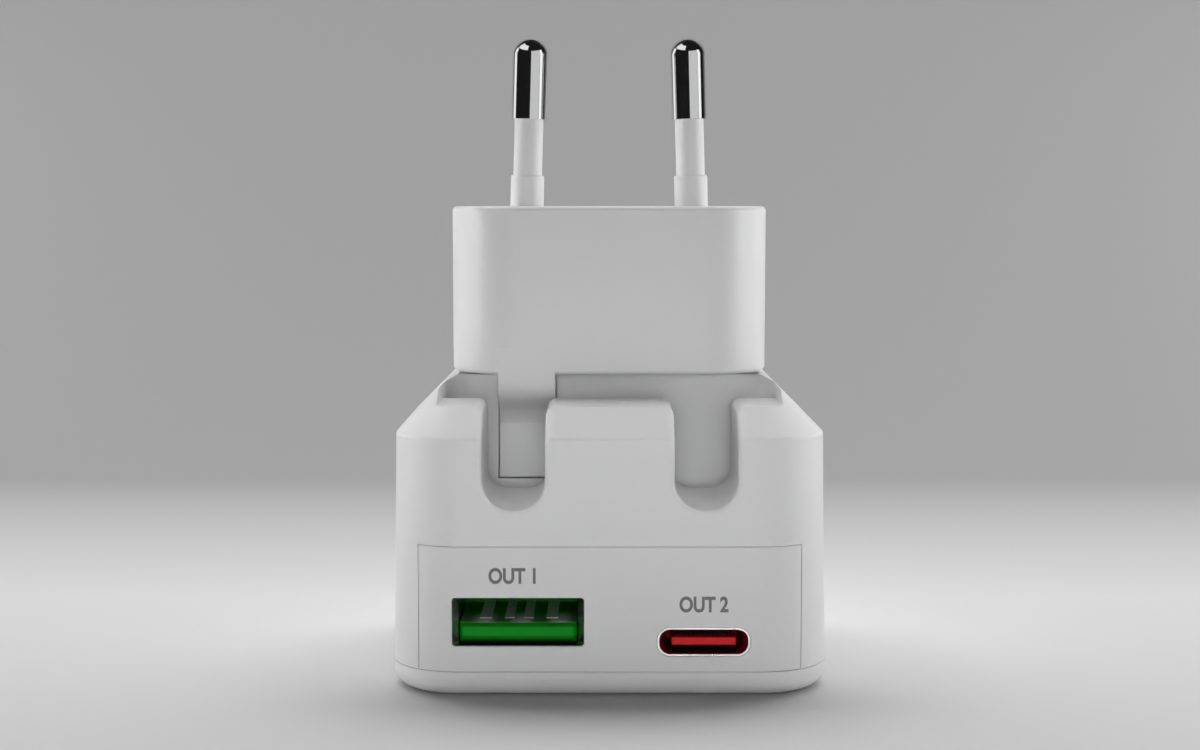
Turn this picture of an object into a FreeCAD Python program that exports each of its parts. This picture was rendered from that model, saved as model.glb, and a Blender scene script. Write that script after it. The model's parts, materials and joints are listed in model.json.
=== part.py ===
"""USB wall charger with a pull-off two-pin mains plug head.

Millimetres, +Z up. The origin is the bottom centre of the charger, the two USB ports face -Y,
and the mains pins point up. The plug head slides off along +Z.
"""
import FreeCAD
import Part
import math
import os

V = FreeCAD.Vector
REAR = V(0, 1, 0)
SIDES = (("left", -1), ("right", 1))

# ---- driving dimensions -------------------------------------------------------------------
# charger body
BODY_HALF_X = 23.25          # at the base
BODY_HALF_Y = 19.0
BODY_CORNER_R = 7.3
DRAFT = 0.018                # sides lean in by this much for each millimetre of height
CHAMFER_Z = 27.2             # where the sloping shoulders start
SHOULDER_Z = 31.7            # where they turn shallower
TOP_Z = 32.3
WALL = 1.8
COVER_H = 2.72               # bottom cover
COVER_EDGE_R = 2.0
SEAM = 0.06                  # open line between two mouldings
RUNNING_GAP = 0.3            # between the plug head and the body
FRONT_Y = -BODY_HALF_Y
TOP_INSET = 1.3              # of the top face's edge inside the shoulders
COVER_HOLLOW_SET = 3.4       # of the cover's hollow inside its outer face
UPSTAND_H = 1.2
UPSTAND_FIT = 0.15

# landing, notches and trough in the top front
LANDING_HALF_X = 18.2
LANDING_Z = 30.2
BLOCK_BACK_Y = FRONT_Y + 12.0
NOTCH_X = 10.0
NOTCH_W = 6.6
NOTCH_FRONT_Z = 19.65        # bottom of a notch at the front face
NOTCH_BACK_Z = 20.28         # and where it opens into the trough
NOTCH_FRONT_R = 3.2          # lower corners of its outline, front and back
NOTCH_BACK_R = 2.4
NOTCH_FLARE_R = 1.0          # upper corners
FRONT_EDGE_R = 0.45
BACK_EDGE_R = 0.25
TROUGH_HALF_X = 18.2
TROUGH_FLOOR_Z = 18.9
TROUGH_BACK_LOW_Y = FRONT_Y + 15.7
TROUGH_BACK_HIGH_Y = FRONT_Y + 17.0
TROUGH_CORNER_R = 3.0

# port panel and ports
PANEL_HALF_X = 20.0
PANEL_TOP_Z = 15.93
USB_A_X, USB_A_Z = -9.57, 8.02
USB_A_INNER = (12.5, 5.12)
USB_A_MOUTH = (13.7, 5.12)
USB_A_OPENING = (13.8, 5.16)  # opening in the panel's lip
USB_A_LIP = 0.35             # thickness of that lip, in front of the receptacle
USB_A_SHEET = 0.3
USB_A_INNER_R = 0.35
USB_A_DEPTH = 14.0
USB_A_TONGUE = (12.2, 2.0)
USB_A_TONGUE_Z = 5.76        # underside of the tongue
USB_A_TONGUE_SET = 1.0       # end of the tongue behind the panel's face
USB_A_TONGUE_CHAMFER = 0.35
USB_A_BLOCK = 3.0            # depth of the insulator at the back
USB_A_STRIPS = ((-3.5, 1.2), (-1.0, 1.0), (1.0, 1.0), (3.5, 1.2))  # centre and width
USB_A_STRIP_T = 0.12
USB_A_STRIP_SET = 2.0        # start of the contact strips behind the tongue's end
USB_A_LEG_Y = (-14.0, -7.5)
USB_A_LEG_T = 0.3
USB_A_LEG_W = 1.6
USB_C_X, USB_C_Z = 9.78, 5.93
USB_C_INNER = (8.34, 2.56)
USB_C_MOUTH = (9.3, 2.62)
USB_C_SHEET = 0.2
USB_C_INNER_R = 1.15
USB_C_DEPTH = 8.6
USB_C_TONGUE = (6.69, 0.9)
USB_C_TONGUE_SET = 0.5
USB_C_TONGUE_CHAMFER = 0.06
USB_C_BLOCK = 1.6
USB_C_STRIPS = 12
USB_C_STRIP_PITCH = 0.5
USB_C_STRIP_W = 0.26
USB_C_STRIP_T = 0.06
USB_C_STRIP_SET = 0.7
PORT_FLARE = 0.8             # depth of the flared lip
USB_C_RECESS = 0.08          # mouth behind the panel's face
CUTOUT_GAP = 0.05

# plug head
HEAD_HALF_X = 17.65
HEAD_FRONT_Y = FRONT_Y + 13.0
HEAD_DEPTH = 16.0
HEAD_BOTTOM_Z = TOP_Z + RUNNING_GAP
HEAD_TOP_Z = 51.03
HEAD_CORNER_R = 7.4
HEAD_WALL = 1.6
HEAD_EDGE_R = 0.5
HEAD_Y = HEAD_FRONT_Y + HEAD_DEPTH / 2

# guide tab under the head, in its slot in the body
TAB_X0, TAB_X1 = -12.2, -6.0
TAB_BOTTOM_Z = 20.9
TAB_THICK = 1.6
TAB_SLOT_WALL = 1.4
TAB_LIP_H = 1.15             # height of the part level with the head's front
TAB_GAP = 0.2
TAB_ROOT_H = 3.0             # inside the head
TAB_SWEEP_H = 4.6            # of the double curve from the head's front back to the slot

# mains pins, to the 2.5 A unearthed plug
PIN_TIP_SPACING = 17.5
PIN_BASE_SPACING = 18.6
PIN_LENGTH = 18.75
PIN_R = 2.0
PIN_METAL_L = 9.0
PIN_DOME_H = 1.7
PIN_CORE_R = 1.0
SLEEVE_R = 1.62
COLLAR_R = 1.88
COLLAR_H = 3.5
COLLAR_EDGE_R = 0.25
PIN_FOOT = 5.0               # reach of the core below the head's top face
PIN_FLANGE_R = 2.2
PIN_FLANGE = (2.0, 4.2)      # top and bottom of the flange below that face

# blades that carry the mains from the head into the body
BLADE_X = 6.35
BLADE_Y = 3.4
BLADE_W = 6.3
BLADE_T = 1.5
BLADE_TOP_Z = 44.0
BLADE_BOTTOM_Z = 25.0
BLADE_CHAMFER = 0.45
BLADE_SHELL_GAP = 0.2
BLADE_BASE_GAP = 0.25
CARRIER_HALF_X = 11.5
CARRIER_Y = (0.4, 7.6)
CARRIER_LOW_Z = 26.2
CARRIER_R = 0.8
FIT_GAP = 0.05

# base plate and spring contacts inside the plug head
BASE_PLATE_T = 1.5
BASE_PLATE_SET = 0.25        # plate above the head's rim
CONTACT_GAP = 0.2            # between a blade and the strip folded over it
CONTACT_SHEET = 0.4
CONTACT_HALF_Y = 2.4
CONTACT_LOW = 2.1            # its lower end above the head's rim
CONTACT_ARM_Y = (1.8, 1.5)   # arm, in front of the pin and behind the blade
CONTACT_ARM_END = 1.4        # arm past the pin's axis
CONTACT_ARM_DROP = 0.08

# circuit boards
PORT_PCB_Z = 3.3
PORT_PCB_T = 1.0
MAIN_PCB_Z = 6.0
MAIN_PCB_T = 1.2
MAIN_PCB_Y = (-3.0, 16.6)
MAIN_PCB_HALF_X = 19.0
BOARD_TOP_Z = MAIN_PCB_Z + MAIN_PCB_T
MAIN_PCB_R = 3.0
PORT_PCB_HALF_X = 16.5
PORT_PCB_BACK_Y = -3.4
PILLAR_R = 1.6
PILLAR_X = 16.5
PILLAR_Y = (0, 12)
HEADER_HALF_X = 3.0
HEADER_Y = (-6.2, -3.6)
HEADER_TOP_Z = 8.2
HEADER_PINS_X = (-2, 0, 2)
HEADER_PIN = (0.6, 2.0)      # width and length
LEAD_R = 0.7
LEAD_SET = 1.6               # lead in front of its blade's middle

# transformer; heights are above the core's foot
CORE_Y = 9.4
CORE_FOOT_Z = BOARD_TOP_Z + 1.2
CORE_HALF_X, CORE_HALF_Y, CORE_H = 7.5, 3.5, 13.0
LIMB_HALF_X = 2.5
WINDOW_W = 3.2
WINDOW_LOW, WINDOW_HIGH = 2.2, 10.8
BOBBIN_TUBE_T = 0.7
BOBBIN_HALF_X, BOBBIN_HALF_Y = 5.4, 6.0
FLANGE_T = 0.8
BOBBIN_FOOT_W = 1.6
WINDING_SET = 0.1            # inside the bobbin's flanges
WINDING_R = 1.8

# other components: place on the board, then size
INPUT_CAN_X, INPUT_CAN_Y = -14.0, {"a": 12.6, "b": 4.4}
INPUT_CAN = (4.0, 11.5)      # radius and height
OUTPUT_CAN_X, OUTPUT_CAN_Y = 14.2, (6.6, 13.2)
OUTPUT_CAN = (3.15, 8.5)
CAN_EDGE_R = 0.4
CAN_GROOVE = (0.25, 0.6, 1.9)  # ring centre outside the can, ring radius, height
CHOKE_AT = (-0.9, 0.4)
CHOKE_RING = (2.9, 1.5, 4.6)   # ring radius, thickness radius, height of its centre
CHOKE_FOOT = (2.2, 1.7, 0.9)   # half width, half depth, height
DISC_X, DISC_Y = 10.0, (2.2, 3.8)
DISC_R, DISC_H = 2.6, 4.2
DISC_LEG_X, DISC_LEG_R, DISC_LEG_H = 1.6, 0.3, 3.0
FUSE_X, FUSE_Y, FUSE_H = (-17.8, -8.8), -1.4, 1.6
FUSE_GLASS_R, FUSE_CAP_R, FUSE_CAP_L = 1.3, 1.5, 1.8
FUSE_INSET = 0.2
CHIP_Y = (-2.4, 1.2)
RECTIFIER_X, RECTIFIER_H = (7.8, 12.0), 2.0
CONTROLLER_X, CONTROLLER_H = (12.8, 17.2), 1.5
SHEET_X, SHEET_Y, SHEET_H = (8.1, 8.5), (4.4, 15.6), 13.5

os.makedirs("parts", exist_ok=True)


# ---- shape helpers ------------------------------------------------------------------------
def box(x0, x1, y0, y1, z0, z1):
    return Part.makeBox(x1 - x0, y1 - y0, z1 - z0, V(x0, y0, z0))


def rod(radius, start, end):
    run = end - start
    return Part.makeCylinder(radius, run.Length, start, run)


def rounded_wire(half_x, half_y, radius, place):
    """Rounded rectangle about place(0, 0); place turns plane coordinates into a point."""
    reach = radius * math.sqrt(0.5)
    edges, ends = [], []
    for sx, sy, turn in ((1, -1, -90), (1, 1, 0), (-1, 1, 90), (-1, -1, 180)):
        cx, cy = sx * (half_x - radius), sy * (half_y - radius)
        first, last = math.radians(turn), math.radians(turn + 90)
        start = place(cx + radius * math.cos(first), cy + radius * math.sin(first))
        end = place(cx + radius * math.cos(last), cy + radius * math.sin(last))
        middle = place(cx + sx * reach, cy + sy * reach)
        if ends:
            edges.append(Part.LineSegment(ends[-1], start).toShape())
        edges.append(Part.Arc(start, middle, end).toShape())
        ends += [start, end]
    edges.append(Part.LineSegment(ends[-1], ends[0]).toShape())
    return Part.Wire(edges)


def level_wire(half_x, half_y, radius, z, y=0.0):
    """Rounded rectangle lying flat at height z."""
    return rounded_wire(half_x, half_y, radius, lambda u, v: V(u, y + v, z))


def upright_wire(half_x, half_z, radius, x, z, y):
    """Rounded rectangle standing in the plane y."""
    return rounded_wire(half_x, half_z, radius, lambda u, v: V(x + u, y, z + v))


def loft(*wires):
    return Part.makeLoft(list(wires), True, True)


def blade_space(side, gap, z0, z1):
    """Room of one blade between two heights, grown sideways by gap."""
    half_x, half_y = BLADE_T / 2 + gap, BLADE_W / 2 + gap
    return box(side * BLADE_X - half_x, side * BLADE_X + half_x,
               BLADE_Y - half_y, BLADE_Y + half_y, z0, z1)


def slab(half_x, half_y, radius, z0, z1, y=0.0):
    return Part.Face(level_wire(half_x, half_y, radius, z0, y)).extrude(V(0, 0, z1 - z0))


def fused(shapes):
    return shapes[0].fuse(shapes[1:]).removeSplitter()


def edges_where(shape, test):
    return [e for e in shape.Edges if test(e.BoundBox)]


def near(value, target):
    return abs(value - target) < 0.02


def softened(shape, radius, test):
    """Round the edges whose bounding box passes the test, then heal the seams of the round."""
    rounded = shape.makeFillet(radius, edges_where(shape, test)).Solids[0]
    rounded.fix(1e-4, 1e-4, 1e-3)
    return rounded


def save(node, shape):
    """Write one node, checked to be closed and valid."""
    if not shape.isValid() or not shape.Solids:
        raise ValueError(f"{node} is not a valid solid")
    shape.exportStep(f"parts/{node}.step")
    print(f"{node:24s} {len(shape.Solids)} solid(s) {shape.Volume:10.2f} mm3")


# ---- body mouldings -----------------------------------------------------------------------
def body_form(inset=0.0, z_low=COVER_H + SEAM):
    """Outer form of the body above the bottom cover, or the same form set in by inset."""
    def section(half_x, half_y, radius, z):
        return level_wire(half_x - inset, half_y - inset, max(radius - inset, 0.6), z)

    lean_low, lean_high = DRAFT * z_low, DRAFT * CHAMFER_Z
    slope = SHOULDER_Z - CHAMFER_Z
    side_x, side_y = BODY_HALF_X - lean_high, BODY_HALF_Y
    chamfer_drop = inset * math.tan(math.radians(22.5))
    return loft(
        section(BODY_HALF_X - lean_low, BODY_HALF_Y, BODY_CORNER_R, z_low),
        section(side_x, side_y, BODY_CORNER_R, CHAMFER_Z - chamfer_drop),
        section(side_x - slope, side_y - slope, BODY_CORNER_R - slope, SHOULDER_Z - inset),
        section(side_x - slope - TOP_INSET, side_y - slope - TOP_INSET,
                BODY_CORNER_R - slope - TOP_INSET, TOP_Z - inset),
    )


def notch_wire(grow, y, bottom_z, corner_r):
    """Upright outline of one notch at x = 0, flared where it meets the landing."""
    half, radius = NOTCH_W / 2 + grow, corner_r + grow
    bottom, roof = bottom_z - grow, TOP_Z + 2
    bend = radius * (1 - math.sqrt(0.5))
    flare = NOTCH_FLARE_R * (1 - math.sqrt(0.5))
    shelf, wide = LANDING_Z - NOTCH_FLARE_R, half + NOTCH_FLARE_R
    right = [(V(half - radius, y, bottom), V(half - bend, y, bottom + bend), V(half, y, bottom + radius)),
             (V(half, y, bottom + radius), None, V(half, y, shelf)),
             (V(half, y, shelf), V(half + flare, y, LANDING_Z - flare), V(wide, y, LANDING_Z)),
             (V(wide, y, LANDING_Z), None, V(wide, y, roof))]
    edges = []
    for side in (1, -1):
        for points in right:
            start, middle, end = (p and V(side * p.x, p.y, p.z) for p in points)
            edge = Part.Arc(start, middle, end) if middle else Part.LineSegment(start, end)
            edges.append(edge.toShape())
    edges.append(Part.LineSegment(V(-wide, y, roof), V(wide, y, roof)).toShape())
    edges.append(Part.LineSegment(V(radius - half, y, bottom), V(half - radius, y, bottom)).toShape())
    return Part.Wire(Part.__sortEdges__(edges))


def notch_cutters(grow=0.0):
    """Both notches; grown by a wall thickness they are the moulding around them."""
    front, back = FRONT_Y, BLOCK_BACK_Y + grow
    one = loft(notch_wire(grow, front, NOTCH_FRONT_Z, NOTCH_FRONT_R),
               notch_wire(grow, back, NOTCH_BACK_Z, NOTCH_BACK_R))
    return [one.translated(V(side * NOTCH_X, 0, 0)) for _, side in SIDES]


def notch_corner_cutters():
    """What rounds the notches' upper corners along the sloping front edge."""
    tools = []
    r, rise = NOTCH_FLARE_R, LANDING_Z - CHAMFER_Z
    top, y = CHAMFER_Z - 1, FRONT_Y - 1
    for _, side in SIDES:
        for hand in (-1, 1):
            x = side * NOTCH_X + hand * NOTCH_W / 2
            low, high = sorted((x, x + hand * r))
            square = Part.Face(Part.makePolygon([V(low, y, top - r), V(high, y, top - r),
                                                 V(high, y, top), V(low, y, top), V(low, y, top - r)]))
            disc = Part.Face(Part.Wire(Part.makeCircle(r, V(x + hand * r, y, top - r), REAR)))
            corner = square.cut(disc)
            tools.append(corner.Faces[0].extrude(V(0, rise + 1, rise + 1)))
    return tools


def trough_wire(grow, back_y, z):
    """Outline of the trough at one height: square in front, rounded behind."""
    half, back, radius = TROUGH_HALF_X + grow, back_y + grow, TROUGH_CORNER_R
    front = BLOCK_BACK_Y - grow
    cut = radius * (1 - math.sqrt(0.5))
    ring = [V(-half, front, z), V(half, front, z), V(half, back - radius, z),
            V(half - radius, back, z), V(-half + radius, back, z), V(-half, back - radius, z)]
    bends = {2: V(half - cut, back - cut, z), 4: V(-half + cut, back - cut, z)}
    edges = []
    for i, start in enumerate(ring):
        end = ring[(i + 1) % len(ring)]
        edge = Part.Arc(start, bends[i], end) if i in bends else Part.LineSegment(start, end)
        edges.append(edge.toShape())
    return Part.Wire(edges)


def trough_cutter(grow=0.0):
    """The trough; its back leans rearwards towards the top."""
    lean = (TROUGH_BACK_HIGH_Y - TROUGH_BACK_LOW_Y) / (TOP_Z - TROUGH_FLOOR_Z)
    roof = TOP_Z + 2
    high = TROUGH_BACK_LOW_Y + lean * (roof - TROUGH_FLOOR_Z)
    floor = TROUGH_FLOOR_Z - grow
    low = TROUGH_BACK_LOW_Y - lean * grow
    return loft(trough_wire(grow, low, floor), trough_wire(grow, high, roof))


def tab_slot(grow):
    """Slot in the trough's back wall for the guide tab, as a cutter or as the wall round it."""
    gap = TAB_GAP + grow
    back = TROUGH_BACK_LOW_Y + TAB_THICK + gap
    return box(TAB_X0 - gap, TAB_X1 + gap, TROUGH_BACK_LOW_Y - 1, back,
               TAB_BOTTOM_Z - gap, TOP_Z + 2)


def panel_cutouts():
    """Holes in the front wall: a stepped one for USB-A, a plain one for USB-C."""
    gap = CUTOUT_GAP
    a_half = [size / 2 + USB_A_SHEET + gap for size in USB_A_MOUTH]
    c_half = [size / 2 + USB_C_SHEET + gap for size in USB_C_MOUTH]
    opening = [size / 2 for size in USB_A_OPENING]
    outlines = [
        upright_wire(*opening, USB_A_INNER_R, USB_A_X, USB_A_Z, FRONT_Y - 1),
        upright_wire(*a_half, 2 * USB_A_SHEET, USB_A_X, USB_A_Z, FRONT_Y + USB_A_LIP),
        upright_wire(*c_half, USB_C_INNER_R + USB_C_SHEET + gap, USB_C_X, USB_C_Z, FRONT_Y - 1)]
    return [Part.Face(wire).extrude(V(0, 2 * WALL, 0)) for wire in outlines]


def panel_block(grow=0.0):
    return box(-PANEL_HALF_X - grow, PANEL_HALF_X + grow, FRONT_Y - 1, FRONT_Y + WALL + 3,
               0, PANEL_TOP_Z + grow)


def soften_top_front(shell):
    """Round the edges of the front face and of the notches, front and back."""
    def front_outline(b):
        return near(b.YMin, FRONT_Y) and b.YLength < 0.02 and b.ZMin > PANEL_TOP_Z + 1

    def block_back(b):
        flat = near(b.YMin, BLOCK_BACK_Y) and b.YLength < 0.02
        return flat and NOTCH_BACK_Z - 0.1 < b.ZMin and b.ZMax < LANDING_Z + 0.02

    shell = softened(shell, FRONT_EDGE_R, front_outline)
    return softened(shell, BACK_EDGE_R, block_back)


def make_main_shell():
    """Body shell with the landing, notches and trough in its top, open at the port panel."""
    form = body_form()
    hollow = body_form(inset=WALL, z_low=0.0)
    landing_wall = box(-LANDING_HALF_X - WALL, LANDING_HALF_X + WALL, FRONT_Y,
                       BLOCK_BACK_Y + WALL, LANDING_Z - WALL, TOP_Z)
    walls = [landing_wall, trough_cutter(WALL), tab_slot(TAB_SLOT_WALL)] + notch_cutters(WALL)
    hollow = hollow.cut(walls)
    landing = box(-LANDING_HALF_X, LANDING_HALF_X, FRONT_Y - 1, BLOCK_BACK_Y,
                  LANDING_Z, TOP_Z + 1)
    open_top = [landing, trough_cutter(), tab_slot(0.0)] + notch_cutters() + notch_corner_cutters()
    shell = form.cut([hollow] + open_top)
    slots = [blade_space(side, BLADE_SHELL_GAP, TOP_Z - 2 * WALL, TOP_Z + 1) for _, side in SIDES]
    shell = shell.cut([panel_block(SEAM)] + slots).removeSplitter()
    return soften_top_front(shell)


def make_port_panel():
    form = body_form()
    hollow = body_form(inset=WALL, z_low=0.0)
    panel = form.cut(hollow).common(panel_block())
    return panel.cut(panel_cutouts()).removeSplitter()


def make_bottom_cover():
    """Tray with a rounded lower edge and an upstand that locates in the shell."""
    tray = slab(BODY_HALF_X, BODY_HALF_Y, BODY_CORNER_R, 0, COVER_H)
    rim = edges_where(tray, lambda b: b.ZMax < 0.01)
    tray = tray.makeFillet(COVER_EDGE_R, rim)
    deep, top = COVER_HOLLOW_SET, COVER_H + UPSTAND_H
    inner = slab(BODY_HALF_X - deep, BODY_HALF_Y - deep, BODY_CORNER_R - deep, WALL, top + 1)
    step = WALL + DRAFT * COVER_H + UPSTAND_FIT
    upstand = slab(BODY_HALF_X - step, BODY_HALF_Y - step, BODY_CORNER_R - step, WALL, top)
    front_gap = box(-PANEL_HALF_X - 1, PANEL_HALF_X + 1, FRONT_Y, FRONT_Y + deep + 1,
                    COVER_H, top + 1)
    return tray.fuse(upstand.cut(front_gap)).cut(inner).removeSplitter()


# ---- USB receptacles ----------------------------------------------------------------------
def port_shell(inner, mouth, sheet, depth, radius, x, z, lip_y):
    """Sheet-metal tube with a flared mouth, open in front and closed behind."""
    neck_y, back_y = lip_y + PORT_FLARE, lip_y + depth

    def tube(extra, y0, y1, size0, size1):
        return loft(upright_wire(size0[0] / 2 + extra, size0[1] / 2 + extra, radius + extra, x, z, y0),
                    upright_wire(size1[0] / 2 + extra, size1[1] / 2 + extra, radius + extra, x, z, y1))

    outside = tube(sheet, lip_y, neck_y, mouth, inner).fuse(tube(sheet, neck_y, back_y, inner, inner))
    inside = tube(0.0, lip_y, neck_y, mouth, inner).fuse(tube(0.0, neck_y, back_y - sheet, inner, inner))
    return outside.cut(inside).removeSplitter()


def usb_a_legs():
    """Four solder legs from the receptacle's sides down to the port board."""
    low = PORT_PCB_Z + PORT_PCB_T
    legs = []
    for _, side in SIDES:
        x = USB_A_X + side * (USB_A_INNER[0] + USB_A_LEG_T) / 2
        legs += [box(x - USB_A_LEG_T / 2, x + USB_A_LEG_T / 2, y, y + USB_A_LEG_W, low, USB_A_Z)
                 for y in USB_A_LEG_Y]
    return legs


def make_usb_a():
    """Receptacle shell, its insulating tongue with a rear block, and four contact strips."""
    shell = port_shell(USB_A_INNER, USB_A_MOUTH, USB_A_SHEET, USB_A_DEPTH,
                       USB_A_INNER_R, USB_A_X, USB_A_Z, FRONT_Y + USB_A_LIP)
    width, thick = USB_A_TONGUE
    tip_y = FRONT_Y + USB_A_TONGUE_SET
    block_y = FRONT_Y + USB_A_LIP + USB_A_DEPTH - USB_A_SHEET - USB_A_BLOCK
    top = USB_A_TONGUE_Z + thick
    tongue = box(USB_A_X - width / 2, USB_A_X + width / 2, tip_y, block_y, USB_A_TONGUE_Z, top)
    end = edges_where(tongue, lambda b: b.YMax < tip_y + 0.01)
    tongue = tongue.makeChamfer(USB_A_TONGUE_CHAMFER, end)
    wire = upright_wire(USB_A_INNER[0] / 2, USB_A_INNER[1] / 2, USB_A_INNER_R,
                        USB_A_X, USB_A_Z, block_y)
    block = Part.Face(wire).extrude(V(0, USB_A_BLOCK, 0))
    strips = [box(USB_A_X + x - wide / 2, USB_A_X + x + wide / 2, tip_y + USB_A_STRIP_SET,
                  block_y, top, top + USB_A_STRIP_T) for x, wide in USB_A_STRIPS]
    save("usb_a_shell", fused([shell] + usb_a_legs()))
    save("usb_a_tongue", fused([tongue, block]))
    save("usb_a_contacts", Part.makeCompound(strips))


def usb_c_strips(tip_y, block_y):
    """Contacts in a row on both faces of the mid tongue."""
    strips = []
    for i in range(USB_C_STRIPS):
        x = USB_C_X + (i - (USB_C_STRIPS - 1) / 2) * USB_C_STRIP_PITCH
        for face in (-1, 1):
            low, high = sorted((face * USB_C_TONGUE[1] / 2,
                                face * (USB_C_TONGUE[1] / 2 + USB_C_STRIP_T)))
            strips.append(box(x - USB_C_STRIP_W / 2, x + USB_C_STRIP_W / 2,
                              tip_y + USB_C_STRIP_SET, block_y, USB_C_Z + low, USB_C_Z + high))
    return strips


def make_usb_c():
    """Receptacle shell, its mid tongue with a rear block, and the contacts."""
    shell = port_shell(USB_C_INNER, USB_C_MOUTH, USB_C_SHEET, USB_C_DEPTH,
                       USB_C_INNER_R, USB_C_X, USB_C_Z, FRONT_Y + USB_C_RECESS)
    width, thick = USB_C_TONGUE
    tip_y = FRONT_Y + USB_C_TONGUE_SET
    block_y = FRONT_Y + USB_C_RECESS + USB_C_DEPTH - USB_C_SHEET - USB_C_BLOCK
    tongue = box(USB_C_X - width / 2, USB_C_X + width / 2, tip_y, block_y,
                 USB_C_Z - thick / 2, USB_C_Z + thick / 2)
    end = edges_where(tongue, lambda b: b.YMax < tip_y + 0.01)
    tongue = tongue.makeChamfer(USB_C_TONGUE_CHAMFER, end)
    wire = upright_wire(USB_C_INNER[0] / 2, USB_C_INNER[1] / 2, USB_C_INNER_R,
                        USB_C_X, USB_C_Z, block_y)
    block = Part.Face(wire).extrude(V(0, USB_C_BLOCK, 0))
    save("usb_c_shell", shell)
    save("usb_c_tongue", fused([tongue, block]))
    save("usb_c_contacts", Part.makeCompound(usb_c_strips(tip_y, block_y)))


# ---- plug head ----------------------------------------------------------------------------
def head_hollow(grow=0.0):
    return slab(HEAD_HALF_X - HEAD_WALL + grow, HEAD_DEPTH / 2 - HEAD_WALL + grow,
                HEAD_CORNER_R - HEAD_WALL + grow, HEAD_BOTTOM_Z - 1, HEAD_TOP_Z - HEAD_WALL, HEAD_Y)


def guide_tab():
    """Tongue under the head: level with its front at the top, then set back to the slot."""
    top, lip_z = HEAD_BOTTOM_Z + TAB_ROOT_H, HEAD_BOTTOM_Z - TAB_LIP_H
    back = TROUGH_BACK_LOW_Y + TAB_THICK
    lean = (TROUGH_BACK_HIGH_Y - TROUGH_BACK_LOW_Y) / (TOP_Z - TROUGH_FLOOR_Z)
    low_y = TROUGH_BACK_LOW_Y + lean * (TAB_BOTTOM_Z - TROUGH_FLOOR_Z)
    mid_z = lip_z - TAB_SWEEP_H
    mid_y = TROUGH_BACK_LOW_Y + lean * (mid_z - TROUGH_FLOOR_Z)
    x = TAB_X0
    points = [V(x, back, top), V(x, HEAD_FRONT_Y, top), V(x, HEAD_FRONT_Y, lip_z),
              V(x, mid_y, mid_z), V(x, low_y, TAB_BOTTOM_Z), V(x, back, TAB_BOTTOM_Z)]
    curve = Part.BSplineCurve()
    curve.interpolate(Points=points[2:4], InitialTangent=V(0, 0, -TAB_SWEEP_H),
                      FinalTangent=V(0, 0, -TAB_SWEEP_H))
    edges = [curve.toShape() if i == 2 else Part.LineSegment(points[i], points[(i + 1) % 6]).toShape()
             for i in range(6)]
    return Part.Face(Part.Wire(edges)).extrude(V(TAB_X1 - TAB_X0, 0, 0))


def pin_axis(side):
    """Foot of a mains pin on the head's top face, and the unit vector to its tip."""
    foot = V(side * PIN_BASE_SPACING / 2, HEAD_Y, HEAD_TOP_Z)
    tip = V(side * PIN_TIP_SPACING / 2, HEAD_Y, HEAD_TOP_Z + PIN_LENGTH)
    return foot, (tip - foot).normalize()


def make_plug_pin(side):
    """Nickelled pin: domed contact end, thin core inside the sleeve, foot inside the head."""
    foot, along = pin_axis(side)
    length = PIN_LENGTH / along.z
    metal_start = length - PIN_METAL_L
    shoulder = foot + along * (length - PIN_DOME_H)
    barrel = rod(PIN_R, foot + along * metal_start, shoulder)
    ball_r = (PIN_R ** 2 + PIN_DOME_H ** 2) / (2 * PIN_DOME_H)
    ball = Part.makeSphere(ball_r, foot + along * (length - ball_r))
    dome = ball.common(rod(ball_r, shoulder, shoulder + along * (2 * PIN_DOME_H)))
    core = rod(PIN_CORE_R, foot - along * PIN_FOOT, foot + along * metal_start)
    flange = rod(PIN_FLANGE_R, foot - along * PIN_FLANGE[1], foot - along * PIN_FLANGE[0])
    return fused([barrel, dome, core, flange])


def make_pin_sleeve(side):
    """Insulating sleeve moulded on the pin, with a collar where it leaves the head."""
    foot, along = pin_axis(side)
    length = PIN_LENGTH / along.z
    sleeve = rod(SLEEVE_R, foot - along * PIN_FLANGE[0], foot + along * (length - PIN_METAL_L))
    collar = rod(COLLAR_R, foot - along * HEAD_WALL, foot + along * COLLAR_H)
    rim = [e for e in collar.Edges if e.BoundBox.ZMin > HEAD_TOP_Z + 2]
    collar = collar.makeFillet(COLLAR_EDGE_R, [e for e in rim if len(e.Vertexes) == 1][:1])
    core = rod(PIN_CORE_R, foot - along * PIN_FOOT, foot + along * length)
    return fused([sleeve, collar]).cut(core)


def make_head_housing():
    """Hollow plug head, open below, with the guide tab in one piece with its front."""
    block = slab(HEAD_HALF_X, HEAD_DEPTH / 2, HEAD_CORNER_R, HEAD_BOTTOM_Z, HEAD_TOP_Z, HEAD_Y)
    rims = edges_where(block, lambda b: b.ZLength < 0.01)
    block = block.makeFillet(HEAD_EDGE_R, rims)
    bosses = []
    for _, side in SIDES:
        foot, along = pin_axis(side)
        bosses.append(rod(COLLAR_R, foot - along * (HEAD_WALL + 1), foot + along))
    hollow = head_hollow().cut(guide_tab())
    return block.fuse(guide_tab()).cut([hollow] + bosses).removeSplitter()


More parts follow.
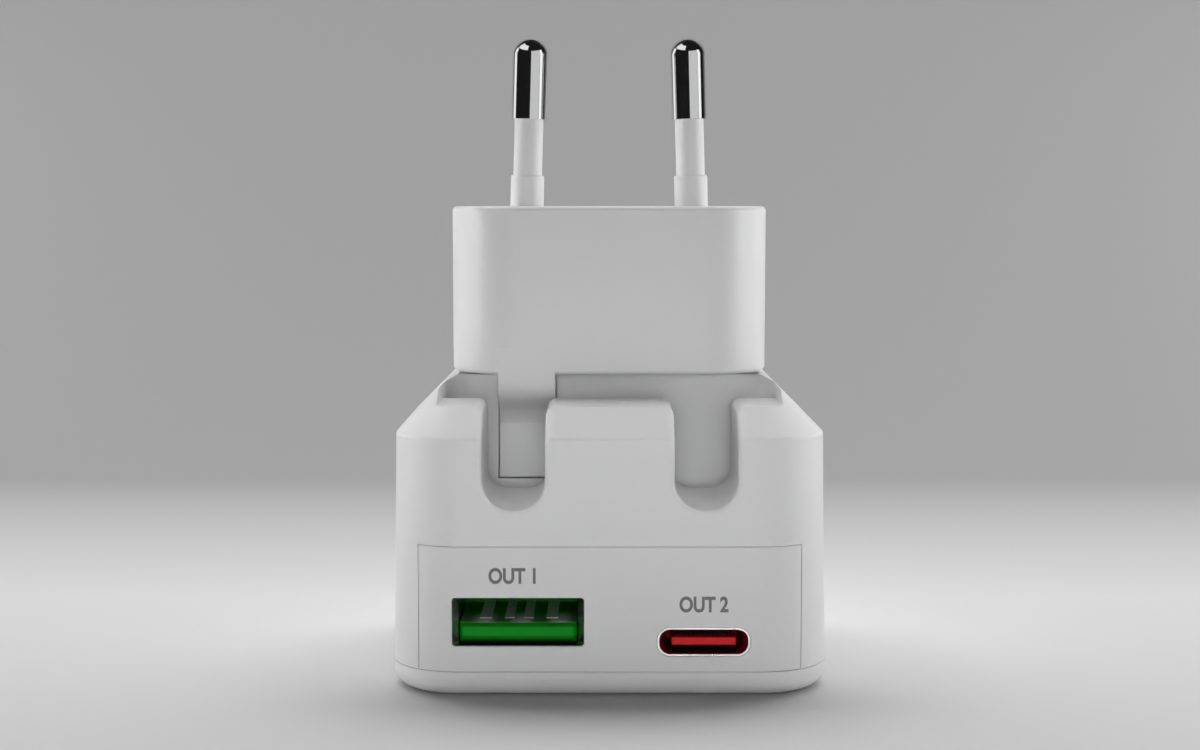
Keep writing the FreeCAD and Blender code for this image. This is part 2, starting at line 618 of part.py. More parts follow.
def make_head_base():
    """Plate that closes the head from below, with openings for the body's blades."""
    inset, low = HEAD_WALL + FIT_GAP, HEAD_BOTTOM_Z + BASE_PLATE_SET
    plate = slab(HEAD_HALF_X - inset, HEAD_DEPTH / 2 - inset, HEAD_CORNER_R - inset,
                 low, low + BASE_PLATE_T, HEAD_Y)
    openings = [blade_space(side, BLADE_BASE_GAP, low - 1, low + BASE_PLATE_T + 1)
                for _, side in SIDES]
    tab_room = box(TAB_X0 - FIT_GAP, TAB_X1 + FIT_GAP, HEAD_FRONT_Y - 1,
                   TROUGH_BACK_LOW_Y + TAB_THICK + FIT_GAP, low - 1, low + BASE_PLATE_T + 1)
    return plate.cut(openings + [tab_room]).removeSplitter()


def make_socket_contact(side):
    """Folded spring strip either side of a blade, with an arm to the foot of its pin."""
    x, sheet = side * BLADE_X, CONTACT_SHEET
    inner = BLADE_T / 2 + CONTACT_GAP
    outer = inner + sheet
    low, high = HEAD_BOTTOM_Z + CONTACT_LOW, BLADE_TOP_Z + 1.0
    y0, y1 = BLADE_Y - CONTACT_HALF_Y, BLADE_Y + CONTACT_HALF_Y
    fold = box(x - outer, x + outer, y0, y1, low, high)
    fold = fold.cut(box(x - inner, x + inner, y0 - 1, y1 + 1, low - 1, high - sheet))
    foot, along = pin_axis(side)
    seat = foot - along * PIN_FOOT
    front, back = HEAD_Y - CONTACT_ARM_Y[0], BLADE_Y + CONTACT_ARM_Y[1]
    riser = box(x - outer, x + outer, BLADE_Y - CONTACT_ARM_Y[1], back, high - sheet, seat.z)
    x0, x1 = sorted((x - side * outer, seat.x + side * CONTACT_ARM_END))
    arm_top = seat.z - CONTACT_ARM_DROP
    arm = box(x0, x1, front, back, arm_top - sheet, arm_top)
    return fused([fold, riser.cut(arm).fuse(arm)])


# ---- mains entry and circuit boards -------------------------------------------------------
def make_mains_entry():
    """Insulating carrier under the body's roof and the two blades that stand in it."""
    carrier = box(-CARRIER_HALF_X, CARRIER_HALF_X, *CARRIER_Y, CARRIER_LOW_Z, TOP_Z - WALL - FIT_GAP)
    carrier = carrier.makeFillet(CARRIER_R, edges_where(carrier, lambda b: b.ZLength > 1))
    for name, side in SIDES:
        carrier = carrier.cut(blade_space(side, 0.0, BLADE_BOTTOM_Z, TOP_Z))
        blade = blade_space(side, 0.0, BLADE_BOTTOM_Z, BLADE_TOP_Z)
        tip = edges_where(blade, lambda b: b.ZMin > BLADE_TOP_Z - 0.01)
        save(f"mains_blade_{name}", blade.makeChamfer(BLADE_CHAMFER, tip))
    save("terminal_carrier", carrier)


def make_boards():
    """Main board behind, port board below the receptacles, and the header between them."""
    main = box(-MAIN_PCB_HALF_X, MAIN_PCB_HALF_X, *MAIN_PCB_Y, MAIN_PCB_Z, BOARD_TOP_Z)
    main = main.makeFillet(MAIN_PCB_R, edges_where(main, lambda b: b.ZLength > 1 and b.YMin > 0))
    port_top = PORT_PCB_Z + PORT_PCB_T
    port = box(-PORT_PCB_HALF_X, PORT_PCB_HALF_X, FRONT_Y + WALL + 0.3, PORT_PCB_BACK_Y,
               PORT_PCB_Z, port_top)
    pillars = [rod(PILLAR_R, V(x, y, WALL), V(x, y, MAIN_PCB_Z))
               for x in (-PILLAR_X, PILLAR_X) for y in PILLAR_Y]
    header = box(-HEADER_HALF_X, HEADER_HALF_X, *HEADER_Y, port_top, HEADER_TOP_Z)
    thick, length = HEADER_PIN
    pins = [box(x - thick / 2, x + thick / 2, HEADER_Y[1], HEADER_Y[1] + length,
                BOARD_TOP_Z, BOARD_TOP_Z + thick) for x in HEADER_PINS_X]
    save("main_pcb", main)
    save("port_pcb", port)
    save("pcb_pillars", Part.makeCompound(pillars))
    save("board_header", fused([header] + pins))


def core_box(half_x, half_y, low, high):
    """Box about the transformer's axis, with heights above the core's foot."""
    return box(-half_x, half_x, CORE_Y - half_y, CORE_Y + half_y, CORE_FOOT_Z + low, CORE_FOOT_Z + high)


def make_transformer():
    """Ferrite core pair, bobbin between the limbs and taped winding around the bobbin."""
    low, high = WINDOW_LOW, WINDOW_HIGH
    limb = core_box(LIMB_HALF_X, CORE_HALF_Y, 0, CORE_H)
    window = core_box(LIMB_HALF_X + WINDOW_W, CORE_HALF_Y + 1, low, high)
    core = core_box(CORE_HALF_X, CORE_HALF_Y, 0, CORE_H).cut(window).fuse(limb).removeSplitter()
    tube = core_box(LIMB_HALF_X + BOBBIN_TUBE_T, CORE_HALF_Y + BOBBIN_TUBE_T, low, high)
    flanges = [core_box(BOBBIN_HALF_X, BOBBIN_HALF_Y, z, z + FLANGE_T) for z in (low, high - FLANGE_T)]
    feet = [box(-BOBBIN_HALF_X, BOBBIN_HALF_X, y, y + BOBBIN_FOOT_W, BOARD_TOP_Z, CORE_FOOT_Z + low)
            for y in (CORE_Y - BOBBIN_HALF_Y, CORE_Y + BOBBIN_HALF_Y - BOBBIN_FOOT_W)]
    bobbin = fused([tube] + flanges + feet).cut(limb)
    winding = core_box(BOBBIN_HALF_X - WINDING_SET, BOBBIN_HALF_Y - 2 * WINDING_SET,
                       low + FLANGE_T + FIT_GAP, high - FLANGE_T - FIT_GAP)
    winding = winding.makeFillet(WINDING_R, edges_where(winding, lambda b: b.ZLength > 6))
    save("transformer_core", core)
    save("transformer_bobbin", bobbin)
    save("transformer_winding", winding.cut([tube, core]))


def capacitor_can(x, y, radius, height):
    """Electrolytic capacitor: can with a rolled groove above its rubber seal."""
    can = rod(radius, V(x, y, BOARD_TOP_Z), V(x, y, BOARD_TOP_Z + height))
    rim = edges_where(can, lambda b: b.ZMin > BOARD_TOP_Z + height - 0.01)
    outside, thick, level = CAN_GROOVE
    groove = Part.makeTorus(radius + outside, thick, V(x, y, BOARD_TOP_Z + level))
    return can.makeFillet(CAN_EDGE_R, rim).cut(groove)


def make_capacitors():
    for name, y in INPUT_CAN_Y.items():
        save(f"input_capacitor_{name}", capacitor_can(INPUT_CAN_X, y, *INPUT_CAN))
    cans = [capacitor_can(OUTPUT_CAN_X, y, *OUTPUT_CAN) for y in OUTPUT_CAN_Y]
    save("output_capacitors", Part.makeCompound(cans))
    middle = BOARD_TOP_Z + DISC_H
    disc = rod(DISC_R, V(DISC_X, DISC_Y[0], middle), V(DISC_X, DISC_Y[1], middle))
    y = sum(DISC_Y) / 2
    legs = [rod(DISC_LEG_R, V(DISC_X + side * DISC_LEG_X, y, BOARD_TOP_Z),
                V(DISC_X + side * DISC_LEG_X, y, BOARD_TOP_Z + DISC_LEG_H)) for _, side in SIDES]
    save("y_capacitor", fused([disc] + legs))


def make_choke():
    """Ring core on a small foot."""
    x, y = CHOKE_AT
    ring, thick, height = CHOKE_RING
    half_x, half_y, foot_h = CHOKE_FOOT
    ring = Part.makeTorus(ring, thick, V(x, y, BOARD_TOP_Z + height), REAR)
    foot = box(x - half_x, x + half_x, y - half_y, y + half_y, BOARD_TOP_Z, BOARD_TOP_Z + foot_h)
    save("common_mode_choke", fused([ring, foot]))


def make_fuse():
    """Glass tube with a metal cap at each end."""
    z = BOARD_TOP_Z + FUSE_H
    x0, x1 = FUSE_X
    glass = rod(FUSE_GLASS_R, V(x0 + FUSE_INSET, FUSE_Y, z), V(x1 - FUSE_INSET, FUSE_Y, z))
    caps = [rod(FUSE_CAP_R, V(x, FUSE_Y, z), V(x + FUSE_CAP_L, FUSE_Y, z))
            for x in (x0, x1 - FUSE_CAP_L)]
    save("fuse", fused([glass] + caps))


def make_chips():
    """Rectifier, controller and the insulating sheet beside the transformer."""
    for name, xs, ys, height in (("bridge_rectifier", RECTIFIER_X, CHIP_Y, RECTIFIER_H),
                                 ("controller_ic", CONTROLLER_X, CHIP_Y, CONTROLLER_H),
                                 ("insulation_sheet", SHEET_X, SHEET_Y, SHEET_H)):
        save(name, box(*xs, *ys, BOARD_TOP_Z, BOARD_TOP_Z + height))


def make_lead_wires():
    """Insulated lead from the foot of each blade down to the board."""
    for name, side in SIDES:
        x, y = side * BLADE_X, BLADE_Y - LEAD_SET
        save(f"lead_wire_{name}", rod(LEAD_R, V(x, y, BOARD_TOP_Z), V(x, y, BLADE_BOTTOM_Z)))


save("main_shell", make_main_shell())
save("port_panel", make_port_panel())
save("bottom_cover", make_bottom_cover())
make_usb_a()
make_usb_c()
make_mains_entry()
make_boards()
make_transformer()
make_capacitors()
make_choke()
make_fuse()
make_chips()
make_lead_wires()
save("head_housing", make_head_housing())
save("head_base", make_head_base())
for name, side in SIDES:
    save(f"plug_pin_{name}", make_plug_pin(side))
    save(f"pin_sleeve_{name}", make_pin_sleeve(side))
    save(f"socket_contact_{name}", make_socket_contact(side))
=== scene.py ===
"""Looks for the USB wall charger: white satin mouldings, nickelled pins, coloured USB tongues."""
import json
import math

import bpy
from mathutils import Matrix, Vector


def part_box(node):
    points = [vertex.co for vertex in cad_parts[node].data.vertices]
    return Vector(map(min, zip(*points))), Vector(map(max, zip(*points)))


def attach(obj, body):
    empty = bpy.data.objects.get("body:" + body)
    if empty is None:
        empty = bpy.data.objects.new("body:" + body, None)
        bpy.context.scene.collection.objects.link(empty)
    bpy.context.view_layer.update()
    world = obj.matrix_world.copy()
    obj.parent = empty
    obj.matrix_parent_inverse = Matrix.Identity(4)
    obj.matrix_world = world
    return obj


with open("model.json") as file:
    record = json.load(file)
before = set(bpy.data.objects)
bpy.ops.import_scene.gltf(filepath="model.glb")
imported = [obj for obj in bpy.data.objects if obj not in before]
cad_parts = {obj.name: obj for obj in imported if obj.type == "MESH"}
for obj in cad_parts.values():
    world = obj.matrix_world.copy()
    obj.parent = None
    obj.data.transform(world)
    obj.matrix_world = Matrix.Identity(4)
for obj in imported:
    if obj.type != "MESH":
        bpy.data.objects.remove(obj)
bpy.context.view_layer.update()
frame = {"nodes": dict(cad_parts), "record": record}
MM = 0.001
NODES = frame["nodes"]
SCENE = bpy.context.scene
FRONT_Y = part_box("main_shell")[0][1]


# ---- node helpers -------------------------------------------------------------------------
def new_material(name):
    """Node material; returns it with its node tree and its Principled shader."""
    material = bpy.data.materials.new(name)
    material.use_nodes = True
    tree = material.node_tree
    return material, tree, tree.nodes["Principled BSDF"]


def add(tree, kind, **settings):
    node = tree.nodes.new(kind)
    for key, value in settings.items():
        setattr(node, key, value)
    return node


def position(tree, axis):
    """Object coordinate along X, Y or Z, in metres."""
    coords = add(tree, "ShaderNodeTexCoord")
    split = add(tree, "ShaderNodeSeparateXYZ")
    tree.links.new(coords.outputs["Object"], split.inputs["Vector"])
    return split.outputs[axis]


def noise(tree, scale, detail=2.0, stretch=None):
    """Noise on object coordinates, with scale in features per metre; stretch scales each axis."""
    coords = add(tree, "ShaderNodeTexCoord").outputs["Object"]
    if stretch:
        mapping = add(tree, "ShaderNodeMapping")
        mapping.inputs["Scale"].default_value = stretch
        tree.links.new(coords, mapping.inputs["Vector"])
        coords = mapping.outputs["Vector"]
    texture = add(tree, "ShaderNodeTexNoise")
    texture.inputs["Scale"].default_value = scale
    texture.inputs["Detail"].default_value = detail
    tree.links.new(coords, texture.inputs["Vector"])
    return texture.outputs["Fac"]


def mapped(tree, value, low, high, source=(0.3, 0.7)):
    """Value stretched from the source range to low..high, and held at the ends."""
    node = add(tree, "ShaderNodeMapRange")
    for socket, number in zip(("From Min", "From Max", "To Min", "To Max"), (*source, low, high)):
        node.inputs[socket].default_value = number
    tree.links.new(value, node.inputs["Value"])
    return node.outputs["Result"]


def maths(tree, operation, value, other=0.0):
    """Value combined with a number or with another node's output."""
    node = add(tree, "ShaderNodeMath", operation=operation)
    tree.links.new(value, node.inputs[0])
    if isinstance(other, bpy.types.NodeSocket):
        tree.links.new(other, node.inputs[1])
    else:
        node.inputs[1].default_value = other
    return node.outputs[0]


def blended(tree, factor, colour_a, colour_b):
    mix = add(tree, "ShaderNodeMix", data_type="RGBA")
    mix.inputs["A"].default_value = (*colour_a, 1)
    mix.inputs["B"].default_value = (*colour_b, 1)
    tree.links.new(factor, mix.inputs["Factor"])
    return mix.outputs["Result"]


def bumped(tree, shader, height, strength, distance):
    bump = add(tree, "ShaderNodeBump")
    bump.inputs["Strength"].default_value = strength
    bump.inputs["Distance"].default_value = distance
    tree.links.new(height, bump.inputs["Height"])
    tree.links.new(bump.outputs["Normal"], shader.inputs["Normal"])


# ---- materials ----------------------------------------------------------------------------
# texture scales, in features per metre
DRIFT_SCALE = 60.0
GLOSS_SCALE = 300.0
GRAIN_SCALE = 4500.0
PRINT_SCALE = 9000.0
SMEAR_SCALE = 900.0
TONGUE_SCALE = 800.0
DRAWN_SCALE = 6000.0

GRAIN_STRENGTH = 0.012
GRAIN_DEPTH = 0.05 * MM
DRAWN_DEPTH = 0.02 * MM
PLASTIC_IOR = 1.47
SMEAR_DARKENING = 0.94
TONGUE_SPECULAR = 0.12
TUBE_SPECULAR = 0.2
RIM_BLEND = 0.03 * MM
ALONG_Y = (1, 0.05, 1)         # stretches drawn lines along the part
ALONG_Z = (1, 1, 0.05)


def grey(level):
    return (level, level, level)


def moulded_plastic(name, colour, roughness=0.38, spread=0.03, grain=GRAIN_SCALE):
    """Satin moulding: fine spark-erosion grain, faint colour drift and uneven gloss."""
    material, tree, shader = new_material(name)
    darker = tuple(c * (1 - spread) for c in colour)
    drift = noise(tree, DRIFT_SCALE, 3.0)
    tree.links.new(blended(tree, drift, darker, colour), shader.inputs["Base Color"])
    gloss = mapped(tree, noise(tree, GLOSS_SCALE, 4.0), roughness - 0.04, roughness + 0.05)
    tree.links.new(gloss, shader.inputs["Roughness"])
    bumped(tree, shader, noise(tree, grain), GRAIN_STRENGTH, GRAIN_DEPTH)
    shader.inputs["IOR"].default_value = PLASTIC_IOR
    return material


def metal(name, colour, roughness, drawn=0.0, stretch=None):
    """Metal with faint smears, and drawn lines of the given strength."""
    material, tree, shader = new_material(name)
    shader.inputs["Metallic"].default_value = 1.0
    smear = noise(tree, SMEAR_SCALE, 3.0)
    darker = tuple(c * SMEAR_DARKENING for c in colour)
    tree.links.new(blended(tree, smear, darker, colour), shader.inputs["Base Color"])
    tree.links.new(mapped(tree, smear, roughness * 0.8, roughness * 1.3), shader.inputs["Roughness"])
    if drawn:
        bumped(tree, shader, noise(tree, DRAWN_SCALE, 2.0, stretch), drawn, DRAWN_DEPTH)
    return material


def tongue_plastic(name, dark, bright, centre_z, half_height):
    """Tinted insulator with a painted highlight: a brighter band along the middle of its end face."""
    material, tree, shader = new_material(name)
    height = maths(tree, "ABSOLUTE", maths(tree, "SUBTRACT", position(tree, "Z"), centre_z))
    # painted highlight: a brighter colour in a band about centre_z
    painted_highlight_band = mapped(tree, height, 1.0, 0.0, (half_height * 0.85, half_height * 1.15))
    tree.links.new(blended(tree, painted_highlight_band, dark, bright), shader.inputs["Base Color"])
    tree.links.new(mapped(tree, noise(tree, TONGUE_SCALE), 0.5, 0.62), shader.inputs["Roughness"])
    shader.inputs["Specular IOR Level"].default_value = TONGUE_SPECULAR
    return material


def paint_contact_reflections(material, centre_x, pitch, top_z, near_y, far_y, colour):
    """Painted reflections of the contacts: soft pale patches on a tongue's top, one over each contact,
    fading with depth.
    """
    tree = material.node_tree
    base = tree.nodes["Principled BSDF"].inputs["Base Color"]
    across = maths(tree, "SUBTRACT", position(tree, "X"), centre_x)
    wave = maths(tree, "COSINE", maths(tree, "MULTIPLY", across, 2 * math.pi / pitch))
    reflection_patches = mapped(tree, wave, 0.12, 0.85, (-0.6, 1.0))
    on_top = mapped(tree, position(tree, "Z"), 0.0, 1.0, (top_z - 0.06 * MM, top_z - 0.01 * MM))
    fade = mapped(tree, position(tree, "Y"), 1.0, 0.0, (near_y, far_y))
    mix = add(tree, "ShaderNodeMix", data_type="RGBA")
    mix.inputs["B"].default_value = (*colour, 1)
    tree.links.new(base.links[0].from_socket, mix.inputs["A"])
    factor = maths(tree, "MULTIPLY", maths(tree, "MULTIPLY", reflection_patches, on_top), fade)
    tree.links.new(factor, mix.inputs["Factor"])
    tree.links.new(mix.outputs["Result"], base)


def tube_with_painted_reflection(name, rim, painted_inside, rim_y):
    """Metal rim up to the depth rim_y, and behind it a dull inside painted dark red, a painted reflection
    of the red tongue.
    """
    material, tree, shader = new_material(name)
    deep = mapped(tree, position(tree, "Y"), 0.0, 1.0, (rim_y, rim_y + RIM_BLEND))
    tree.links.new(blended(tree, deep, rim, painted_inside), shader.inputs["Base Color"])
    tree.links.new(mapped(tree, deep, 1.0, 0.0, (0.0, 1.0)), shader.inputs["Metallic"])
    tree.links.new(mapped(tree, noise(tree, SMEAR_SCALE), 0.25, 0.4), shader.inputs["Roughness"])
    shader.inputs["Specular IOR Level"].default_value = TUBE_SPECULAR
    return material


# ---- the look of each node ----------------------------------------------------------------
USB_A_LOW, USB_A_HIGH = (Vector(corner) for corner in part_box("usb_a_tongue"))
USB_C_LOW, USB_C_HIGH = (Vector(corner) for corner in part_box("usb_c_tongue"))
USB_A_TOP_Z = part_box("usb_a_contacts")[0][2]      # the contacts lie on the tongue
USB_A_HIGHLIGHT_DROP = 0.95 * MM                       # middle of the painted highlight band, below the top
USB_A_HIGHLIGHT_HALF = 0.45 * MM
USB_C_HIGHLIGHT_HALF = 0.36 * MM
REFLECTION_SHIFT = 0.37 * MM
REFLECTION_PITCH = 4.0 * MM
REFLECTION_REACH = 5.5 * MM
USB_C_RIM_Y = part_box("usb_c_shell")[0][1] + 0.02 * MM

# the brighter bands on both tongues are painted highlights
green = tongue_plastic("usb_a_green", (0.0, 0.16, 0.0), (0.0, 0.30, 0.015),
                       USB_A_TOP_Z - USB_A_HIGHLIGHT_DROP, USB_A_HIGHLIGHT_HALF)
# pale patches on the green tongue's top are painted reflections of its contacts
paint_contact_reflections(green, (USB_A_LOW.x + USB_A_HIGH.x) / 2 + REFLECTION_SHIFT, REFLECTION_PITCH, USB_A_TOP_Z,
                 USB_A_LOW.y, USB_A_LOW.y + REFLECTION_REACH, (0.90, 0.95, 0.90))
red = tongue_plastic("usb_c_red", (0.30, 0.003, 0.008), (0.72, 0.02, 0.03),
                     (USB_C_LOW.z + USB_C_HIGH.z) / 2, USB_C_HIGHLIGHT_HALF)
black = moulded_plastic("bobbin_black", grey(0.03), 0.5, 0.1)

BY_SLOT = {
    "white_shell": moulded_plastic("shell_white", grey(0.765)),
    "white_panel": moulded_plastic("panel_white", grey(0.755), 0.42),
    "sleeve_white": moulded_plastic("sleeve_white", grey(0.80), 0.45),
    "pin_nickel": metal("pin_nickel", (0.86, 0.86, 0.87), 0.07, 0.05, ALONG_Z),
    "port_shell": metal("port_steel", (0.26, 0.28, 0.26), 0.22, 0.08, ALONG_Y),
    "green_tongue": green,
    "red_tongue": red,
    "gold_contact": metal("contact_gold", (0.62, 0.60, 0.46), 0.35),
    "blade_metal": metal("blade_brass", (0.80, 0.68, 0.40), 0.25, 0.1, ALONG_Z),
    "bobbin_plastic": black,
    "circuit_board": moulded_plastic("board_green", (0.02, 0.16, 0.07), 0.35, 0.15),
    "ferrite": moulded_plastic("ferrite_grey", (0.05, 0.05, 0.055), 0.6, 0.2),
    "winding_tape": moulded_plastic("tape_yellow", (0.7, 0.45, 0.04), 0.3, 0.1),
    "capacitor_can": metal("can_aluminium", (0.6, 0.6, 0.62), 0.3),
    "ceramic_blue": moulded_plastic("ceramic_blue", (0.03, 0.12, 0.4), 0.35, 0.1),
    "fuse_glass": moulded_plastic("fuse_glass", (0.6, 0.65, 0.62), 0.1, 0.02),
    "chip_black": black,
    "wire_insulation": moulded_plastic("wire_brown", (0.12, 0.05, 0.02), 0.45, 0.1),
}
BY_NODE = {
    # the dark red inside of the USB-C shell is a painted reflection of the red tongue
    "usb_c_shell": tube_with_painted_reflection("usb_c_shell_painted_reflection", (0.86, 0.84, 0.84), (0.09, 0.0, 0.002), USB_C_RIM_Y),
    "usb_c_contacts": moulded_plastic("usb_c_contact", (0.10, 0.01, 0.01), 0.5, 0.1),
    "usb_a_contacts": moulded_plastic("usb_a_contact", (0.42, 0.52, 0.42), 0.5, 0.1),
}


def dress_nodes():
    """Give every CAD node the material of its slot, or its own."""
    for part in frame["record"]["subparts"]:
        look = BY_NODE.get(part["node"], BY_SLOT[part["material_slot"]])
        for material_slot in NODES[part["node"]].material_slots:
            material_slot.material = look


# ---- printed labels -----------------------------------------------------------------------
LABEL_HEIGHT = 1.7 * MM
LABEL_EXTRUDE = 0.006          # half thickness, as a share of the letters' nominal size
LABEL_WEIGHT = 0.034           # outline grown by this share, for bolder strokes
LABEL_PROUD = 2.0              # stretch of the thickness, in mm for each nominal size
# name, text, port below it, centre from the port's centre and top, width; all in mm
LABELS = (
    ("label_left_port", "OUT 1", "usb_a_shell", -0.58, 2.04, 4.9),
    ("label_right_port", "OUT 2", "usb_c_shell", -0.01, 2.47, 5.1),
)
label_grey = moulded_plastic("label_grey", grey(0.17), 0.5, 0.06, PRINT_SCALE)


def letters(name, text):
    """Mesh of flat letters in the XY plane, about one unit high."""
    curve = bpy.data.curves.new(name, "FONT")
    curve.body = text
    curve.align_x, curve.align_y = "CENTER", "CENTER"
    curve.size = 1.0
    curve.extrude = LABEL_EXTRUDE
    curve.offset = LABEL_WEIGHT
    text_object = bpy.data.objects.new(name, curve)
    SCENE.collection.objects.link(text_object)
    bpy.context.view_layer.update()
    mesh = bpy.data.meshes.new_from_object(text_object)
    bpy.data.objects.remove(text_object)
    return mesh


def label(name, text, x, z, width, height):
    """Grey printed caption, a hair proud of the port panel."""
    mesh = letters(name, text)
    xs = [vertex.co.x for vertex in mesh.vertices]
    ys = [vertex.co.y for vertex in mesh.vertices]
    mid_x, mid_y = (min(xs) + max(xs)) / 2, (min(ys) + max(ys)) / 2
    scale_x, scale_z = width / (max(xs) - min(xs)), height / (max(ys) - min(ys))
    for vertex in mesh.vertices:
        across, up, out = vertex.co
        vertex.co = (x + (across - mid_x) * scale_x, FRONT_Y - out * LABEL_PROUD * MM,
                     z + (up - mid_y) * scale_z)
    piece = bpy.data.objects.new(name, mesh)
    SCENE.collection.objects.link(piece)
    mesh.materials.clear()
    mesh.materials.append(label_grey)
    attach(piece, "charger_body")


def print_labels():
    for name, text, port, shift, rise, width in LABELS:
        low, high = (Vector(corner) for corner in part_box(port))
        centre_x = (low.x + high.x) / 2 + shift * MM
        label(name, text, centre_x, high.z + rise * MM, width * MM, LABEL_HEIGHT)


# ---- backdrop -----------------------------------------------------------------------------
PAPER_NEAR = grey(0.87)
PAPER_SHADED = grey(0.42)
PAPER_SHADE_Y = (0.03, 0.13)    # where the paper turns from near to far grey, a painted shade towards the wall
PAPER_FRONT_Y = -2.0
PAPER_FOLD_Y = 0.12            # where the floor starts to curve up
PAPER_BEND_R = 0.34
PAPER_TOP_Z = 2.0
PAPER_HALF_WIDTH = 1.1
PAPER_BEND_STEPS = 32


def stage_mesh(name, verts, faces, material):
    """Object made of the given faces, set down as part of the studio."""
    mesh = bpy.data.meshes.new(name)
    mesh.from_pydata(verts, [], faces)
    mesh.materials.append(material)
    piece = bpy.data.objects.new(name, mesh)
    SCENE.collection.objects.link(piece)
    return piece


def sweep_backdrop():
    """Pale paper: a floor that curves up into a wall behind, painted greyer towards the wall as painted
    shade.
    """
    material, tree, shader = new_material("studio_paper")
    shader.inputs["Roughness"].default_value = 0.8
    shader.inputs["Specular IOR Level"].default_value = 0.0
    # painted shade: the paper's colour darkens from near to far grey towards the wall
    fade = mapped(tree, position(tree, "Y"), 0.0, 1.0, PAPER_SHADE_Y)
    tree.links.new(blended(tree, fade, PAPER_NEAR, PAPER_SHADED), shader.inputs["Base Color"])
    line = [(PAPER_FRONT_Y, 0.0), (PAPER_FOLD_Y, 0.0)]
    for step in range(1, PAPER_BEND_STEPS + 1):
        angle = math.radians(90 * step / PAPER_BEND_STEPS)
        line.append((PAPER_FOLD_Y + PAPER_BEND_R * math.sin(angle), PAPER_BEND_R * (1 - math.cos(angle))))
    line.append((PAPER_FOLD_Y + PAPER_BEND_R, PAPER_TOP_Z))
    verts = [(x, y, z) for y, z in line for x in (-PAPER_HALF_WIDTH, PAPER_HALF_WIDTH)]
    faces = [(2 * i, 2 * i + 1, 2 * i + 3, 2 * i + 2) for i in range(len(line) - 1)]
    backdrop = stage_mesh("backdrop", verts, faces, material)
    backdrop.data.polygons.foreach_set("use_smooth", [True] * len(faces))


# ---- lights -------------------------------------------------------------------------------
WORLD_GREY = grey(0.5)
WORLD_STRENGTH = 0.02
AIM = (0, 0, 0.03)             # the middle of the charger
PINS = ("plug_pin_left", "plug_pin_right")
ALL = ()
OFF_PAPER = ("backdrop",)
# name, place, target, size across and up, watts, spread in degrees, what it is kept off
LAMPS = (
    ("rear_overhead", (0, 0.26, 0.62), (0, 0.06, 0), (0.9, 0.40), 3.8, 180, ALL),
    ("left_side", (-0.42, 0.02, 0.10), AIM, (0.36, 0.20), 0.45, 180, OFF_PAPER),
    ("right_side", (0.42, 0.02, 0.10), AIM, (0.36, 0.20), 0.42, 180, OFF_PAPER),
    ("left_head", (-0.42, -0.12, 0.07), (0, 0, 0.046), (0.12, 0.03), 0.0042, 14, OFF_PAPER),
    ("right_head", (0.42, -0.12, 0.07), (0, 0, 0.046), (0.12, 0.03), 0.0042, 14, OFF_PAPER),
    ("left_rear", (-0.36, 0.22, 0.12), AIM, (0.30, 0.20), 0.35, 180, ALL),
    ("right_rear", (0.36, 0.22, 0.12), AIM, (0.30, 0.20), 0.45, 180, ALL),
    ("front_floor", (0, -1.35, 0.9), (0, -1.35, 0), (2.5, 0.8), 2.5, 90, ALL),
    ("front_high", (0, -0.16, 0.50), AIM, (0.40, 0.20), 0.26, 180, OFF_PAPER),
    ("front_near", (0, -0.27, 0.05), (0, 0, -0.02), (0.12, 0.08), 0.012, 60, OFF_PAPER),
    ("front_mid", (0, -0.35, 0.20), AIM, (0.30, 0.10), 0.08, 180, OFF_PAPER),
    ("front_band", (0, -0.30, 0.058), (0, 0, 0.024), (0.10, 0.02), 0.0003, 8, OFF_PAPER),
    ("front_low", (0, -0.25, 0.014), (0, 0, 0), (0.20, 0.01), 0.004, 30, OFF_PAPER),
)
CARD_SEGMENTS = 24
CARD_R = 0.5
WALL_R = 2.4
# name, radius, arc in degrees with 0 in front, bottom, top, brightness, the rays that see it
CARDS = (
    ("left_strip", CARD_R, (-120, -97), -0.1, 0.4, 1.0, "glossy"),
    ("right_panel", CARD_R, (5, 64), -0.1, 0.4, 0.62, "glossy"),
    ("right_strip", CARD_R, (66, 86), -0.1, 0.4, 1.1, "glossy"),
    ("left_top", CARD_R, (-110, -20), 0.45, 1.2, 0.9, "glossy"),
    ("room_wall", WALL_R, (-180, 180), -0.5, 2.5, 0.27, "camera"),
)


def area_light(name, place, target, size, power, spread):
    light = bpy.data.lights.new(name, "AREA")
    light.shape = "RECTANGLE"
    light.size, light.size_y = size
    light.energy = power
    light.spread = math.radians(spread)
    lamp = bpy.data.objects.new(name, light)
    SCENE.collection.objects.link(lamp)
    lamp.location = place
    lamp.rotation_euler = (Vector(target) - Vector(place)).to_track_quat("-Z", "Y").to_euler()
    return lamp


def keep_off(lamp, names):
    """Keep a lamp's light off the named nodes or objects."""
    group = bpy.data.collections.new(lamp.name + "_flag")
    for name in names:
        group.objects.link(NODES[name] if name in NODES else bpy.data.objects[name])
    lamp.light_linking.receiver_collection = group
    for entry in group.collection_objects:
        entry.light_linking.link_state = "EXCLUDE"


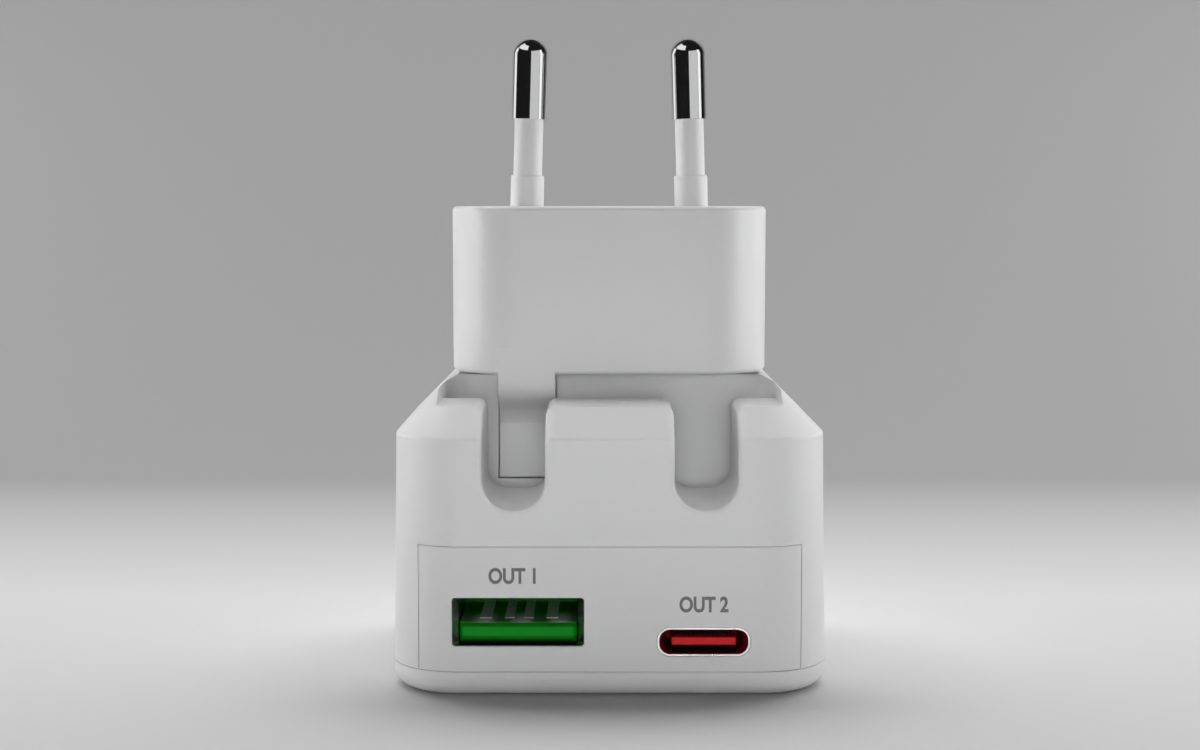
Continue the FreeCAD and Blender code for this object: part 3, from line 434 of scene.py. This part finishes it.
def glowing_card(name, radius, arc, low, high, level, seen_by):
    """Upright curved card about the charger, seen by one kind of ray."""
    material, tree, shader = new_material(name)
    tree.nodes.remove(shader)
    glow = add(tree, "ShaderNodeEmission")
    glow.inputs["Strength"].default_value = level
    tree.links.new(glow.outputs[0], tree.nodes["Material Output"].inputs["Surface"])
    start, end = (math.radians(angle) for angle in arc)
    turns = [start + (end - start) * i / CARD_SEGMENTS for i in range(CARD_SEGMENTS + 1)]
    verts = [(radius * math.sin(turn), -radius * math.cos(turn), z) for turn in turns for z in (low, high)]
    faces = [(2 * i, 2 * i + 2, 2 * i + 3, 2 * i + 1) for i in range(CARD_SEGMENTS)]
    card = stage_mesh(name, verts, faces, material)
    for sight in ("camera", "diffuse", "glossy", "shadow", "transmission", "volume_scatter"):
        setattr(card, "visible_" + sight, sight == seen_by)


def light_studio():
    """The bright pins mirror the cards, so every lamp is kept off them."""
    world = bpy.data.worlds.new("studio")
    world.use_nodes = True
    background = world.node_tree.nodes["Background"]
    background.inputs["Color"].default_value = (*WORLD_GREY, 1)
    background.inputs["Strength"].default_value = WORLD_STRENGTH
    SCENE.world = world
    for name, place, target, size, power, spread, kept_off in LAMPS:
        keep_off(area_light(name, place, target, size, power, spread), kept_off + PINS)
    for card in CARDS:
        glowing_card(*card)
    SCENE.view_settings.view_transform = "Standard"


# ---- camera -------------------------------------------------------------------------------
SENSOR_WIDTH = 36.0
LENS = 54.72
CLIP_START = 0.01
CAMERA_X = -1.03 * MM
CAMERA_DISTANCE = 186.3 * MM   # from the front face
CAMERA_Z = 51.73 * MM
CAMERA_DOWN = 5.48             # degrees below level


def place_camera():
    data = bpy.data.cameras.new("camera")
    data.sensor_width = SENSOR_WIDTH
    data.lens = LENS
    data.clip_start = CLIP_START
    camera = bpy.data.objects.new("camera", data)
    SCENE.collection.objects.link(camera)
    camera.location = (CAMERA_X, FRONT_Y - CAMERA_DISTANCE, CAMERA_Z)
    camera.rotation_euler = (math.radians(90 - CAMERA_DOWN), 0, 0)
    SCENE.camera = camera


place_camera()
sweep_backdrop()
light_studio()
dress_nodes()
print_labels()
